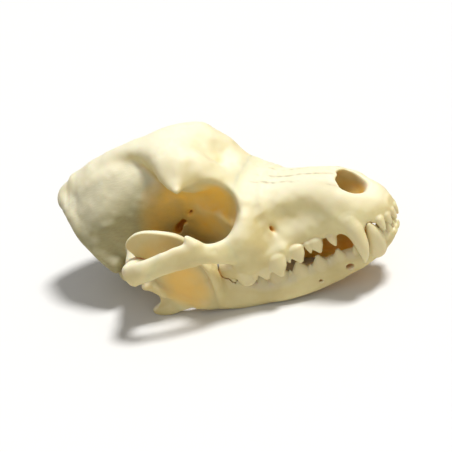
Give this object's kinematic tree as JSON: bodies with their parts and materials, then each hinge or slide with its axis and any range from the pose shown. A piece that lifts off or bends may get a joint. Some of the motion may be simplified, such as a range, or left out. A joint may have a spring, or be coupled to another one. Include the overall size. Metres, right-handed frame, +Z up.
{
  "type": "dog skull",
  "caption": "Dog skull with closed lower jaw and teeth, a still display model lying on its lower jaw.",
  "frame": {"origin": "centre of the bounding box in plan, on the floor under the skull", "axes": "+X towards the muzzle, +Y to the dog's left, +Z up"},
  "size_m": [0.2026, 0.1191, 0.0952],
  "materials": {
    "braincase": "matt",
    "snout": "matt",
    "cheekbone": "matt",
    "jaw": "matt"
  },
  "bodies": {
    "root": {"braincase": "braincase", "snout": "snout", "cheekbone_left": "cheekbone", "cheekbone_right": "cheekbone", "jaw_left": "jaw", "jaw_right": "jaw"}
  },
  "joints": []
}
